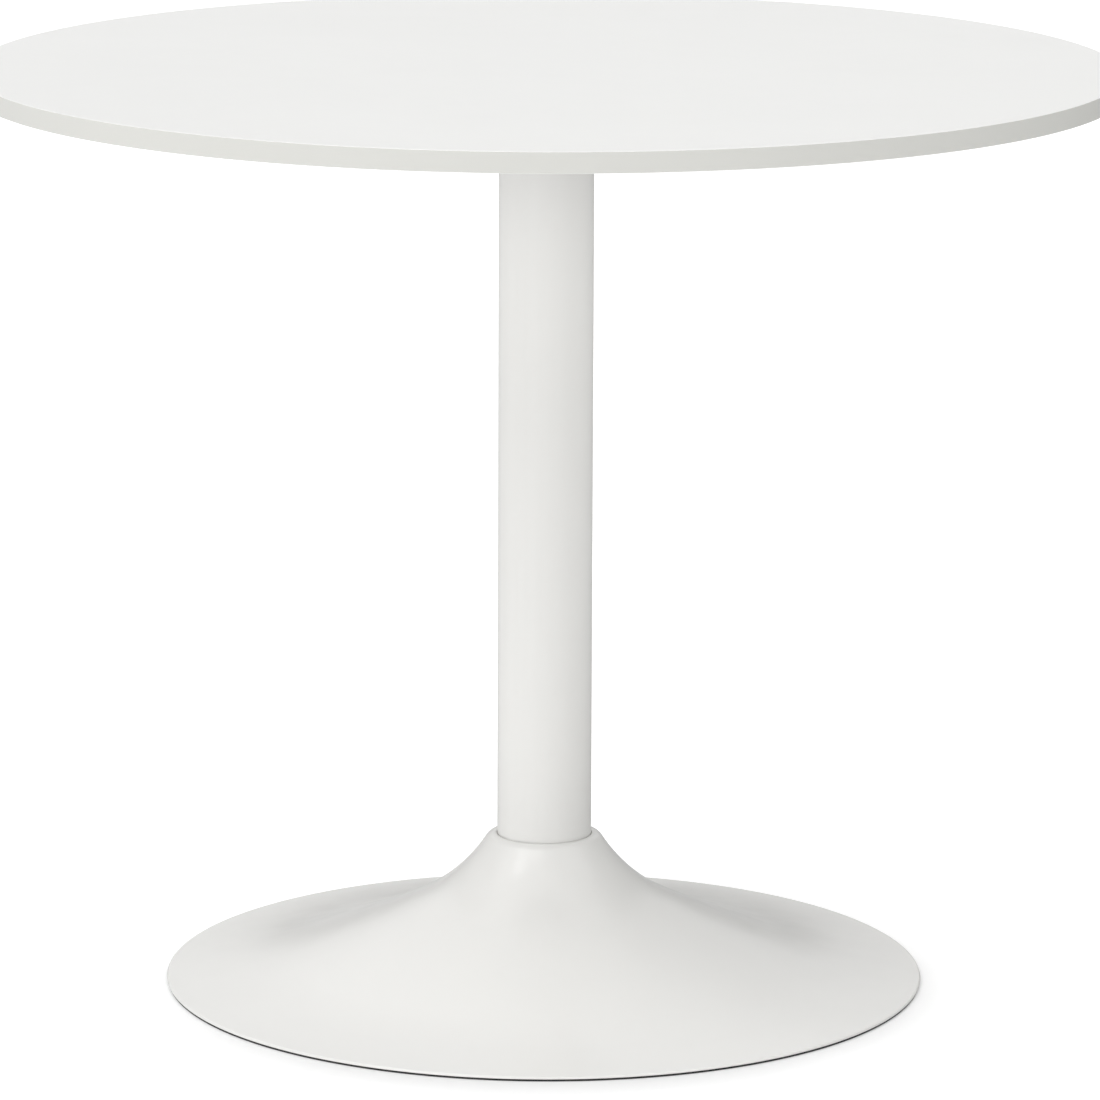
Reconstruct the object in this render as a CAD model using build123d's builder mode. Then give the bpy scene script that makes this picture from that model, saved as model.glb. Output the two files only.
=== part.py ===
from build123d import *
from math import asin, degrees, radians, sin
import os

# A round pedestal table: a thin lacquered board on one steel column, standing in a
# flared spun-steel base with a ballast ring inside. Origin: middle of the base, on the floor.

# Driving dimensions, millimetres
HEIGHT = 735.0
TOP_DIAMETER = 900.0
TOP_THICKNESS = 16.0
TOP_EDGE_RADIUS = 1.5
COLUMN_DIAMETER = 75.0
COLUMN_WALL = 1.5
BASE_DIAMETER = 605.0
BASE_SHEET = 1.5
NECK_HEIGHT = 117.8
EDGE_RING_HEIGHT = 1.8

# Clearances
CLEARANCE = 0.2
THREAD_CLEARANCE = 0.05
NECK_GAP = 0.5

# Base cover: a level lip, a convex shoulder, a concave flare of four tangent arcs and a rounded rim.
# Each of the first three flare arcs is its bend radius and the slope that it ends at, in degrees.
NECK_RADIUS = COLUMN_DIAMETER / 2 + NECK_GAP
SHOULDER_START = 39.6
SHOULDER_RADIUS = 8.3
SHOULDER_SLOPE = 57.0
FLARE_ARCS = [(148.0, 28.0), (700.0, 19.0), (265.0, 8.0)]
FLARE_LAST_RADIUS = 530.0
RIM_RADIUS = 1.7

# Edge ring and pan
EDGE_RING_INSET = 0.6
EDGE_RING_WIDTH = 40.0
EDGE_RING_ROUND = 0.5
PAN_SHEET = 1.5
PAN_RADIUS = 278.0
PAN_BOTTOM = EDGE_RING_HEIGHT
PAN_TOP = PAN_BOTTOM + PAN_SHEET
DOME_UNDER = 24.0
DOME_TOP = DOME_UNDER + PAN_SHEET
DOME_RADIUS = 70.0
DOME_FOOT_RADIUS = 84.0
PAN_BEND = 4.0

# Ballast ring on the pan, and the screws that hold the two together
BALLAST_INNER = 92.0
BALLAST_OUTER = 215.0
BALLAST_THICKNESS = 9.0
BALLAST_CHAMFER = 1.5
PAN_SCREW_COUNT = 6
PAN_SCREW_CIRCLE = 150.0
PAN_SCREW_RADIUS = 2.5
PAN_SCREW_HEAD_RADIUS = 5.0
PAN_SCREW_HEAD_DEPTH = 2.5
PAN_SCREW_TOP = PAN_TOP + BALLAST_THICKNESS - 1.0
PAN_SCREW_SOCKET_AF = 3.0
PAN_SCREW_SOCKET_DEPTH = 1.4

# Seat flange under the column, bolted to the pan's dome
SEAT_RADIUS = 65.0
SEAT_THICKNESS = 5.0
SEAT_TOP = DOME_TOP + SEAT_THICKNESS
SPIGOT_WALL = 3.0
SPIGOT_HEIGHT = 30.0
SPIGOT_CHAMFER = 1.0
SEAT_BOLT_COUNT = 4
SEAT_BOLT_CIRCLE = 52.0
SEAT_BOLT_RADIUS = 4.0
SEAT_BOLT_HEAD_AF = 13.0
SEAT_BOLT_HEAD_HEIGHT = 5.3
SEAT_BOLT_END = 12.0
SEAT_NUT_HEIGHT = 6.5
SEAT_WASHER_RADIUS = 8.0
SEAT_WASHER_THICKNESS = 1.6
HEX_CHAMFER = 0.6

# Column, and the rod that pulls the top plate down on it
PLATE_THICKNESS = 4.0
PLATE_TOP = HEIGHT - TOP_THICKNESS
PLATE_UNDER = PLATE_TOP - PLATE_THICKNESS
PLATE_RADIUS = 160.0
PLATE_CHAMFER = 0.8
ROD_RADIUS = 6.0
ROD_CHAMFER = 1.0
ROD_HOLE_RADIUS = 6.75
ROD_BOTTOM = 4.5
ROD_TOP = PLATE_UNDER + 2.0
ROD_NUT_AF = 18.0
ROD_NUT_HEIGHT = 10.0
ROD_WASHER_RADIUS = 15.0
ROD_WASHER_THICKNESS = 2.5
SPRING_WASHER_RADIUS = 10.0
SPRING_WASHER_THICKNESS = 2.8
SPRING_WASHER_SLIT = 1.2
WELD_NUT_AF = 19.0
WELD_NUT_HEIGHT = 12.0

# Screws between the plate and the top
TOP_SCREW_COUNT = 8
TOP_SCREW_CIRCLE = 140.0
TOP_SCREW_RADIUS = 3.0
TOP_SCREW_HOLE_RADIUS = 3.5
TOP_SCREW_LENGTH = 14.0
TOP_SCREW_HEAD_RADIUS = 5.25
TOP_SCREW_HEAD_HEIGHT = 3.3
TOP_SCREW_SOCKET_AF = 4.0
TOP_SCREW_SOCKET_DEPTH = 2.0
TOP_WASHER_RADIUS = 9.0
TOP_WASHER_THICKNESS = 1.6
INSERT_RADIUS = 4.5
INSERT_LENGTH = 10.0
INSERT_HOLE_DEPTH = 11.0

# Centring bush between the column and the neck of the cover
BUSH_CLEARANCE = 0.1
BUSH_OUTER_RADIUS = 42.0
BUSH_STEP_RADIUS = 39.4
BUSH_BOTTOM = 105.0
BUSH_SHOULDER = 115.0

COLUMN_RADIUS = COLUMN_DIAMETER / 2
BASE_RADIUS = BASE_DIAMETER / 2
SPIGOT_RADIUS = COLUMN_RADIUS - COLUMN_WALL - CLEARANCE


def finish(builder, name):
    """Label a finished piece and write it."""
    builder.part.label = name
    export_step(builder.part, f"parts/{name}.step")


def ring(outer, inner, bottom, top):
    """A plain ring about the table's axis."""
    with BuildPart() as made:
        with BuildSketch(Plane.XY.offset(bottom)):
            Circle(outer)
            Circle(inner, mode=Mode.SUBTRACT)
        extrude(amount=top - bottom)
    return made


def hexagons(across_flats, bore, bottom, top, circle=0.0, count=1):
    """Hexagon nuts or heads on a circle, chamfered on the flat faces; bore 0 leaves them solid."""
    with BuildPart() as made:
        with BuildSketch(Plane.XY.offset(bottom)):
            with PolarLocations(circle, count):
                RegularPolygon(across_flats / 2, side_count=6, major_radius=False)
        extrude(amount=top - bottom)
        chamfer(made.edges().filter_by(Plane.XY), HEX_CHAMFER)
        if bore:
            with BuildSketch(Plane.XY.offset(bottom)):
                with PolarLocations(circle, count):
                    Circle(bore)
            extrude(amount=top - bottom, mode=Mode.SUBTRACT)
    return made


# Table top: board with softened edges and blind holes for the threaded inserts
with BuildPart() as tabletop:
    with BuildSketch(Plane.XY.offset(PLATE_TOP)):
        Circle(TOP_DIAMETER / 2)
    extrude(amount=TOP_THICKNESS)
    fillet(tabletop.edges(), TOP_EDGE_RADIUS)
    with BuildSketch(Plane.XY.offset(PLATE_TOP)):
        with PolarLocations(TOP_SCREW_CIRCLE, TOP_SCREW_COUNT):
            Circle(INSERT_RADIUS + THREAD_CLEARANCE)
    extrude(amount=INSERT_HOLE_DEPTH, mode=Mode.SUBTRACT)
finish(tabletop, "tabletop")

# Threaded inserts, flush with the underside of the top
with BuildPart() as tabletop_inserts:
    with BuildSketch(Plane.XY.offset(PLATE_TOP)):
        with PolarLocations(TOP_SCREW_CIRCLE, TOP_SCREW_COUNT):
            Circle(INSERT_RADIUS)
            Circle(TOP_SCREW_RADIUS + THREAD_CLEARANCE, mode=Mode.SUBTRACT)
    extrude(amount=INSERT_LENGTH)
finish(tabletop_inserts, "tabletop_inserts")

# Mounting plate under the top
with BuildPart() as top_plate:
    with BuildSketch(Plane.XY.offset(PLATE_UNDER)):
        Circle(PLATE_RADIUS)
        Circle(ROD_HOLE_RADIUS, mode=Mode.SUBTRACT)
        with PolarLocations(TOP_SCREW_CIRCLE, TOP_SCREW_COUNT):
            Circle(TOP_SCREW_HOLE_RADIUS, mode=Mode.SUBTRACT)
    extrude(amount=PLATE_THICKNESS)
    underside = top_plate.faces().sort_by(Axis.Z)[0]
    chamfer(underside.outer_wire().edges(), PLATE_CHAMFER)
finish(top_plate, "top_plate")

# Washers and button-head screws that hold the plate to the inserts
with BuildPart() as top_plate_washers:
    with BuildSketch(Plane.XY.offset(PLATE_UNDER - TOP_WASHER_THICKNESS)):
        with PolarLocations(TOP_SCREW_CIRCLE, TOP_SCREW_COUNT):
            Circle(TOP_WASHER_RADIUS)
            Circle(TOP_SCREW_HOLE_RADIUS, mode=Mode.SUBTRACT)
    extrude(amount=TOP_WASHER_THICKNESS)
finish(top_plate_washers, "top_plate_washers")

HEAD_TOP = PLATE_UNDER - TOP_WASHER_THICKNESS
HEAD_BOTTOM = HEAD_TOP - TOP_SCREW_HEAD_HEIGHT
with BuildPart() as top_plate_screws:
    with BuildSketch(Plane.XY.offset(HEAD_BOTTOM)):
        with PolarLocations(TOP_SCREW_CIRCLE, TOP_SCREW_COUNT):
            Circle(TOP_SCREW_HEAD_RADIUS)
    extrude(amount=TOP_SCREW_HEAD_HEIGHT)
    head_rims = top_plate_screws.edges().group_by(Axis.Z)[0]
    fillet(head_rims, TOP_SCREW_HEAD_HEIGHT / 2)
    with BuildSketch(Plane.XY.offset(HEAD_TOP)):
        with PolarLocations(TOP_SCREW_CIRCLE, TOP_SCREW_COUNT):
            Circle(TOP_SCREW_RADIUS)
    extrude(amount=TOP_SCREW_LENGTH)
    with BuildSketch(Plane.XY.offset(HEAD_BOTTOM)):
        with PolarLocations(TOP_SCREW_CIRCLE, TOP_SCREW_COUNT):
            RegularPolygon(TOP_SCREW_SOCKET_AF / 2, side_count=6, major_radius=False)
    extrude(amount=TOP_SCREW_SOCKET_DEPTH, mode=Mode.SUBTRACT)
finish(top_plate_screws, "top_plate_screws")

# Spigot ring welded under the plate, which centres the column's upper end
upper_ring = ring(SPIGOT_RADIUS, SPIGOT_RADIUS - SPIGOT_WALL, PLATE_UNDER - SPIGOT_HEIGHT, PLATE_UNDER)
with BuildPart() as top_plate_spigot:
    add(upper_ring.part)
    chamfer(top_plate_spigot.edges().group_by(Axis.Z)[0].sort_by(SortBy.RADIUS)[-1], SPIGOT_CHAMFER)
finish(top_plate_spigot, "top_plate_spigot")

# Nut welded under the plate
top_plate_weld_nut = hexagons(
    WELD_NUT_AF, ROD_RADIUS + THREAD_CLEARANCE, PLATE_UNDER - WELD_NUT_HEIGHT, PLATE_UNDER
)
finish(top_plate_weld_nut, "top_plate_weld_nut")

# Column tube, from the seat flange up to the plate
column_tube = ring(COLUMN_RADIUS, COLUMN_RADIUS - COLUMN_WALL, SEAT_TOP, PLATE_UNDER)
finish(column_tube, "column_tube")

# Tie rod down the middle of the column
with BuildPart() as tie_rod:
    with BuildSketch(Plane.XY.offset(ROD_BOTTOM)):
        Circle(ROD_RADIUS)
    extrude(amount=ROD_TOP - ROD_BOTTOM)
    chamfer(tie_rod.edges().filter_by(GeomType.CIRCLE), ROD_CHAMFER)
finish(tie_rod, "tie_rod")


def flared_body(inset):
    """The solid under the cover's outer surface, drawn in by the sheet's thickness or by nothing."""
    with BuildPart() as made:
        with BuildSketch(Plane.XZ) as profile:
            with BuildLine():
                lip = Line((NECK_RADIUS, NECK_HEIGHT - inset), (SHOULDER_START, NECK_HEIGHT - inset))
                curve = JernArc(lip @ 1, (1, 0), SHOULDER_RADIUS - inset, -SHOULDER_SLOPE)
                slope = SHOULDER_SLOPE
                for bend_radius, end_slope in FLARE_ARCS:
                    curve = JernArc(curve @ 1, curve % 1, bend_radius + inset, slope - end_slope)
                    slope = end_slope
                run = BASE_RADIUS - inset - (curve @ 1).X
                last_radius = FLARE_LAST_RADIUS + inset
                last_slope = degrees(asin(sin(radians(slope)) - run / last_radius))
                curve = JernArc(curve @ 1, curve % 1, last_radius, slope - last_slope)
                rim_foot = (BASE_RADIUS - inset, EDGE_RING_HEIGHT)
                Polyline(curve @ 1, rim_foot, (NECK_RADIUS, EDGE_RING_HEIGHT), lip @ 0)
            make_face()
            rim_corner = profile.vertices().sort_by_distance(curve @ 1)[0]
            fillet(rim_corner, RIM_RADIUS - inset)
        revolve(axis=Axis.Z)
    return made


# Base cover: one spun sheet
outside = flared_body(0)
inside = flared_body(BASE_SHEET)
with BuildPart() as base_shell:
    add(outside.part)
    add(inside.part, mode=Mode.SUBTRACT)
finish(base_shell, "base_shell")

# Nylon bush that centres the cover's neck on the column
with BuildPart() as neck_bush:
    with BuildSketch(Plane.XZ):
        with BuildLine():
            Polyline(
                (COLUMN_RADIUS + BUSH_CLEARANCE, BUSH_BOTTOM),
                (BUSH_OUTER_RADIUS, BUSH_BOTTOM),
                (BUSH_OUTER_RADIUS, BUSH_SHOULDER),
                (BUSH_STEP_RADIUS, BUSH_SHOULDER),
                (BUSH_STEP_RADIUS, NECK_HEIGHT - BASE_SHEET),
                (COLUMN_RADIUS + BUSH_CLEARANCE, NECK_HEIGHT - BASE_SHEET),
                close=True,
            )
        make_face()
    revolve(axis=Axis.Z)
finish(neck_bush, "neck_bush")

# Seat flange that the column stands on
with BuildPart() as seat_flange:
    with BuildSketch(Plane.XY.offset(DOME_TOP)):
        Circle(SEAT_RADIUS)
        Circle(ROD_HOLE_RADIUS, mode=Mode.SUBTRACT)
        with PolarLocations(SEAT_BOLT_CIRCLE, SEAT_BOLT_COUNT):
            Circle(SEAT_BOLT_RADIUS + CLEARANCE, mode=Mode.SUBTRACT)
    extrude(amount=SEAT_THICKNESS)
finish(seat_flange, "seat_flange")

# Spigot ring welded on the seat flange, inside the column's lower end
lower_ring = ring(SPIGOT_RADIUS, SPIGOT_RADIUS - SPIGOT_WALL, SEAT_TOP, SEAT_TOP + SPIGOT_HEIGHT)
with BuildPart() as seat_spigot:
    add(lower_ring.part)
    chamfer(seat_spigot.edges().group_by(Axis.Z)[-1].sort_by(SortBy.RADIUS)[-1], SPIGOT_CHAMFER)
finish(seat_spigot, "seat_spigot")

# Hexagon bolts down through the seat flange and the pan's dome
bolt_heads = hexagons(
    SEAT_BOLT_HEAD_AF, 0, SEAT_TOP, SEAT_TOP + SEAT_BOLT_HEAD_HEIGHT, SEAT_BOLT_CIRCLE, SEAT_BOLT_COUNT
)
with BuildPart() as seat_bolts:
    add(bolt_heads.part)
    with BuildSketch(Plane.XY.offset(SEAT_BOLT_END)):
        with PolarLocations(SEAT_BOLT_CIRCLE, SEAT_BOLT_COUNT):
            Circle(SEAT_BOLT_RADIUS)
    extrude(amount=SEAT_TOP - SEAT_BOLT_END + HEX_CHAMFER)
finish(seat_bolts, "seat_bolts")

with BuildPart() as seat_washers:
    with BuildSketch(Plane.XY.offset(DOME_UNDER - SEAT_WASHER_THICKNESS)):
        with PolarLocations(SEAT_BOLT_CIRCLE, SEAT_BOLT_COUNT):
            Circle(SEAT_WASHER_RADIUS)
            Circle(SEAT_BOLT_RADIUS + CLEARANCE, mode=Mode.SUBTRACT)
    extrude(amount=SEAT_WASHER_THICKNESS)
finish(seat_washers, "seat_washers")

SEAT_NUT_TOP = DOME_UNDER - SEAT_WASHER_THICKNESS
seat_nuts = hexagons(
    SEAT_BOLT_HEAD_AF,
    SEAT_BOLT_RADIUS + THREAD_CLEARANCE,
    SEAT_NUT_TOP - SEAT_NUT_HEIGHT,
    SEAT_NUT_TOP,
    SEAT_BOLT_CIRCLE,
    SEAT_BOLT_COUNT,
)
finish(seat_nuts, "seat_nuts")

# Washer, split spring washer and nut on the tie rod's lower end, inside the dome
ROD_WASHER_BOTTOM = DOME_UNDER - ROD_WASHER_THICKNESS
SPRING_WASHER_BOTTOM = ROD_WASHER_BOTTOM - SPRING_WASHER_THICKNESS
tie_rod_washer = ring(ROD_WASHER_RADIUS, ROD_HOLE_RADIUS, ROD_WASHER_BOTTOM, DOME_UNDER)
finish(tie_rod_washer, "tie_rod_washer")

whole_washer = ring(
    SPRING_WASHER_RADIUS, ROD_RADIUS + CLEARANCE, SPRING_WASHER_BOTTOM, ROD_WASHER_BOTTOM
)
with BuildPart() as tie_rod_spring_washer:
    add(whole_washer.part)
    with BuildSketch(Plane.XY.offset(SPRING_WASHER_BOTTOM)):
        with Locations((SPRING_WASHER_RADIUS, 0)):
            Rectangle(SPRING_WASHER_RADIUS, SPRING_WASHER_SLIT)
    extrude(amount=SPRING_WASHER_THICKNESS, mode=Mode.SUBTRACT)
finish(tie_rod_spring_washer, "tie_rod_spring_washer")

tie_rod_nut = hexagons(
    ROD_NUT_AF, ROD_RADIUS + THREAD_CLEARANCE, SPRING_WASHER_BOTTOM - ROD_NUT_HEIGHT, SPRING_WASHER_BOTTOM
)
finish(tie_rod_nut, "tie_rod_nut")

# Pressed pan: a flat floor with a dome in the middle that lifts the bolts clear of the ground
with BuildPart() as base_pan:
    with BuildSketch(Plane.XZ):
        with BuildLine():
            pressed_line = FilletPolyline(
                (ROD_HOLE_RADIUS, DOME_TOP),
                (DOME_RADIUS, DOME_TOP),
                (DOME_FOOT_RADIUS, PAN_TOP),
                (PAN_RADIUS, PAN_TOP),
                radius=PAN_BEND,
            )
            offset(pressed_line, amount=PAN_SHEET, side=Side.RIGHT)
        make_face()
    revolve(axis=Axis.Z)
    with BuildSketch(Plane.XY.offset(DOME_UNDER)):
        with PolarLocations(SEAT_BOLT_CIRCLE, SEAT_BOLT_COUNT):
            Circle(SEAT_BOLT_RADIUS + CLEARANCE)
    extrude(amount=PAN_SHEET, mode=Mode.SUBTRACT)
    with Locations(Plane.XY.offset(PAN_BOTTOM).rotated((180, 0, 0))):
        with PolarLocations(PAN_SCREW_CIRCLE, PAN_SCREW_COUNT):
            CounterSinkHole(PAN_SCREW_RADIUS + CLEARANCE, PAN_SCREW_HEAD_RADIUS + CLEARANCE, PAN_SHEET, 90)
finish(base_pan, "base_pan")

# Cast iron ballast ring, drilled and countersunk in line with the pan
with BuildPart() as ballast_ring:
    with BuildSketch(Plane.XY.offset(PAN_TOP)):
        Circle(BALLAST_OUTER)
        Circle(BALLAST_INNER, mode=Mode.SUBTRACT)
    extrude(amount=BALLAST_THICKNESS)
    chamfer(ballast_ring.edges().group_by(Axis.Z)[-1], BALLAST_CHAMFER)
    with Locations(Plane.XY.offset(PAN_TOP).rotated((180, 0, 0))):
        with PolarLocations(PAN_SCREW_CIRCLE, PAN_SCREW_COUNT):
            CounterSinkHole(
                PAN_SCREW_RADIUS + THREAD_CLEARANCE,
                PAN_SCREW_HEAD_RADIUS + CLEARANCE - PAN_SHEET,
                BALLAST_THICKNESS,
                90,
            )
finish(ballast_ring, "ballast_ring")

# Countersunk screws up through the pan into the ballast ring
with BuildPart() as pan_screws:
    with BuildSketch(Plane.XY.offset(PAN_BOTTOM)):
        with PolarLocations(PAN_SCREW_CIRCLE, PAN_SCREW_COUNT):
            Circle(PAN_SCREW_HEAD_RADIUS)
    extrude(amount=PAN_SCREW_HEAD_DEPTH, taper=45)
    with BuildSketch(Plane.XY.offset(PAN_BOTTOM)):
        with PolarLocations(PAN_SCREW_CIRCLE, PAN_SCREW_COUNT):
            Circle(PAN_SCREW_RADIUS)
    extrude(amount=PAN_SCREW_TOP - PAN_BOTTOM)
    with BuildSketch(Plane.XY.offset(PAN_BOTTOM)):
        with PolarLocations(PAN_SCREW_CIRCLE, PAN_SCREW_COUNT):
            RegularPolygon(PAN_SCREW_SOCKET_AF / 2, side_count=6, major_radius=False)
    extrude(amount=PAN_SCREW_SOCKET_DEPTH, mode=Mode.SUBTRACT)
finish(pan_screws, "pan_screws")

# Rubber edge ring on the floor, under the cover's rim and the pan's edge
flat_ring = ring(
    BASE_RADIUS - EDGE_RING_INSET,
    BASE_RADIUS - EDGE_RING_INSET - EDGE_RING_WIDTH,
    0,
    EDGE_RING_HEIGHT,
)
with BuildPart() as edge_ring:
    add(flat_ring.part)
    fillet(edge_ring.edges().group_by(Axis.Z)[0], EDGE_RING_ROUND)
finish(edge_ring, "edge_ring")
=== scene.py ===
"""Looks of the round pedestal table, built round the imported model."""
import math

import bmesh
import bpy
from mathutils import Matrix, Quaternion, Vector, noise


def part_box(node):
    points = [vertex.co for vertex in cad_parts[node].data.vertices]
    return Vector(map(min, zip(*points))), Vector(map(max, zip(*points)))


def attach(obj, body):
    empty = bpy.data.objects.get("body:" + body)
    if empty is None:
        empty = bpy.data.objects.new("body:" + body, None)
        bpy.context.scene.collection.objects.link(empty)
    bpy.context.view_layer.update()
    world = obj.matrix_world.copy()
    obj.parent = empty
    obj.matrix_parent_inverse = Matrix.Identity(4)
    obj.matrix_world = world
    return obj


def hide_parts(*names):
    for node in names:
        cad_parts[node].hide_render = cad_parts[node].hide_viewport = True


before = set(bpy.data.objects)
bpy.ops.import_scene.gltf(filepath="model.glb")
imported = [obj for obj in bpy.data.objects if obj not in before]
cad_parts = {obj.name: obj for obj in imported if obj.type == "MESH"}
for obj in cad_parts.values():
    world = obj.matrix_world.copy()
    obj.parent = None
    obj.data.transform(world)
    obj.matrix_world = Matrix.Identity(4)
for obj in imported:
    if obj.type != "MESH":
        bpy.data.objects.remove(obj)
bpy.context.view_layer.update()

MM = 0.001
TURN = 2 * math.pi
BODY = "root"
SHARP_ANGLE = math.radians(35)
MERGE_DISTANCE = 0.001 * MM
THREAD_DEPTH = 0.6  # of the pitch
SHEET = 1.5 * MM
COLUMN_WALL = 1.5 * MM
ROD_HOLE = 6.75 * MM
ROD_NUT_BORE = 6.05 * MM
SCREW_HOLE = 3.5 * MM
BOLT_HOLE = 4.2 * MM
INSERT_RADIUS = 4.5 * MM
PAN_HEAD_RADIUS = 5 * MM
SEAT_WASHER_RADIUS = 8 * MM
TOP_SCREWS = 8
PAN_SCREWS = 6
SEAT_BOLTS = 4


# ---------------------------------------------------------------- places, all read from the frame
def low(node):
    """A node's lowest height."""
    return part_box(node)[0].z


def high(node):
    """A node's greatest height."""
    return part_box(node)[1].z


def radius(node):
    """A round node's outer radius."""
    lo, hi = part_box(node)
    return max((hi.x - lo.x) / 2, (hi.y - lo.y) / 2)


def fixing_circle(node, part_radius):
    """Radius of the circle that a node's fixings stand on, from how far they reach along x."""
    lo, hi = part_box(node)
    return (hi.x - lo.x) / 2 - part_radius


screw_circle = fixing_circle("tabletop_inserts", INSERT_RADIUS)
pan_screw_circle = fixing_circle("pan_screws", PAN_HEAD_RADIUS)
seat_bolt_circle = fixing_circle("seat_washers", SEAT_WASHER_RADIUS)


# ---------------------------------------------------------------- mesh building
def rounded(corners, steps=5):
    """A closed outline from corners (r, z) or (r, z, rounding radius), with each rounding as an arc."""
    outline = []
    count = len(corners)
    for i, corner in enumerate(corners):
        here = Vector(corner[:2])
        if len(corner) < 3:
            outline.append(tuple(here))
            continue
        to_last = (Vector(corners[i - 1][:2]) - here).normalized()
        to_next = (Vector(corners[(i + 1) % count][:2]) - here).normalized()
        half = to_last.angle(to_next) / 2
        centre = here + (to_last + to_next).normalized() * (corner[2] / math.sin(half))
        first = here + to_last * (corner[2] / math.tan(half)) - centre
        last = here + to_next * (corner[2] / math.tan(half)) - centre
        start = math.atan2(first.y, first.x)
        sweep = (math.atan2(last.y, last.x) - start + math.pi) % TURN - math.pi
        for k in range(steps + 1):
            angle = start + sweep * k / steps
            outline.append((centre.x + corner[2] * math.cos(angle), centre.y + corner[2] * math.sin(angle)))
    return outline


def turned(rows, segments, closed=True):
    """Vertices and faces of a turned solid. A row is (r, z), or a function of the angle that gives (r, z).

    Rows run anticlockwise round the section, seen with r to the right and z up, so that faces point outwards.
    """
    verts = []
    faces = []
    starts = []
    for row in rows:
        pole = not callable(row) and row[0] == 0
        starts.append((len(verts), pole))
        if pole:
            verts.append((0.0, 0.0, row[1]))
            continue
        for j in range(segments):
            angle = TURN * j / segments
            r, z = row(angle) if callable(row) else row
            verts.append((r * math.cos(angle), r * math.sin(angle), z))
    pairs = list(zip(starts, starts[1:]))
    if closed:
        pairs.append((starts[-1], starts[0]))
    for (a, a_pole), (b, b_pole) in pairs:
        if a_pole and b_pole:
            continue
        for j in range(segments):
            k = (j + 1) % segments
            if a_pole:
                faces.append((a, b + k, b + j))
            elif b_pole:
                faces.append((a + j, a + k, b))
            else:
                faces.append((a + j, a + k, b + k, b + j))
    return verts, faces


def around(shape, circle, count):
    """Copies of a shape on a circle about the table's axis, each turned to face outwards."""
    verts = []
    faces = []
    for i in range(count):
        angle = TURN * i / count
        c, s = math.cos(angle), math.sin(angle)
        first = len(verts)
        verts += [((x + circle) * c - y * s, (x + circle) * s + y * c, z) for x, y, z in shape[0]]
        faces += [tuple(first + v for v in face) for face in shape[1]]
    return verts, faces


def together(*shapes):
    """Several shapes as one."""
    verts = []
    faces = []
    for shape in shapes:
        first = len(verts)
        verts += shape[0]
        faces += [tuple(first + v for v in face) for face in shape[1]]
    return verts, faces


def mesh_object(name, shape):
    """A smooth-shaded object whose edges are sharp where the surface turns by more than SHARP_ANGLE."""
    mesh = bpy.data.meshes.new(name)
    mesh.from_pydata(shape[0], [], shape[1])
    mesh.validate()
    mesh.shade_smooth()
    mesh.set_sharp_from_angle(angle=SHARP_ANGLE)
    made = bpy.data.objects.new(name, mesh)
    bpy.context.collection.objects.link(made)
    return made


def drill(target, cutters):
    """Cut holes in an object with a closed shape, and keep the cleaned result as its mesh."""
    tool = mesh_object(target.name + "_tool", cutters)
    cut = target.modifiers.new("holes", "BOOLEAN")
    cut.operation = "DIFFERENCE"
    cut.solver = "EXACT"
    cut.object = tool
    bpy.context.view_layer.update()
    result = bpy.data.meshes.new_from_object(target.evaluated_get(bpy.context.evaluated_depsgraph_get()))
    target.modifiers.clear()
    target.data = result
    clean = bmesh.new()
    clean.from_mesh(result)
    bmesh.ops.remove_doubles(clean, verts=clean.verts, dist=MERGE_DISTANCE)
    bmesh.ops.dissolve_degenerate(clean, edges=clean.edges, dist=MERGE_DISTANCE)
    many_sided = [face for face in clean.faces if len(face.verts) > 4]
    bmesh.ops.connect_verts_concave(clean, faces=many_sided)
    clean.to_mesh(result)
    clean.free()
    result.shade_smooth()
    result.set_sharp_from_angle(angle=SHARP_ANGLE)
    bpy.data.objects.remove(tool)


def piece(name, shape, node, material, cutters=None):
    """Make a piece, give it its material, and put it in place of a CAD node (or beside them all)."""
    made = mesh_object(name, shape)
    if cutters:
        drill(made, cutters)
    made.data.materials.clear()
    made.data.materials.append(material)
    made.modifiers.new("flat_faces_stay_flat", "WEIGHTED_NORMAL").keep_sharp = True
    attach(made, BODY)
    if node:
        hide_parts(node)
    return made


# ---------------------------------------------------------------- fasteners
def hexagon(angle, across_flats):
    """Radius of a hexagon's outline at an angle, with corners on the x axis."""
    return across_flats / 2 / math.cos((angle % (TURN / 6)) - TURN / 12)


def socket_row(across_flats, z):
    """A row of a hexagon socket at one height."""
    return lambda angle: (hexagon(angle, across_flats), z)


def hole_shape(hole_radius, bottom, top):
    """A plain round cutter."""
    return turned([(0, bottom), (hole_radius, bottom), (hole_radius, top), (0, top)], 32, closed=False)


def hex_rows(across_flats, bottom, top, bore=0.0):
    """Rows of a hexagon nut or head with its corners turned off at 30 degrees, down to a round face."""
    face_share = 0.96
    flat = across_flats / 2 * face_share
    slope = math.tan(math.radians(30))
    ease = 0.35 * MM

    def corner(at, way):
        def row(angle):
            r = hexagon(angle, across_flats)
            return r, at + way * (r - flat) * slope
        return row

    rows = [(flat, bottom), corner(bottom, 1), corner(top, -1), (flat, top)]
    if bore:
        rows += [(bore + ease, top), (bore, top - ease), (bore, bottom + ease), (bore + ease, bottom)]
    return rows


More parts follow.
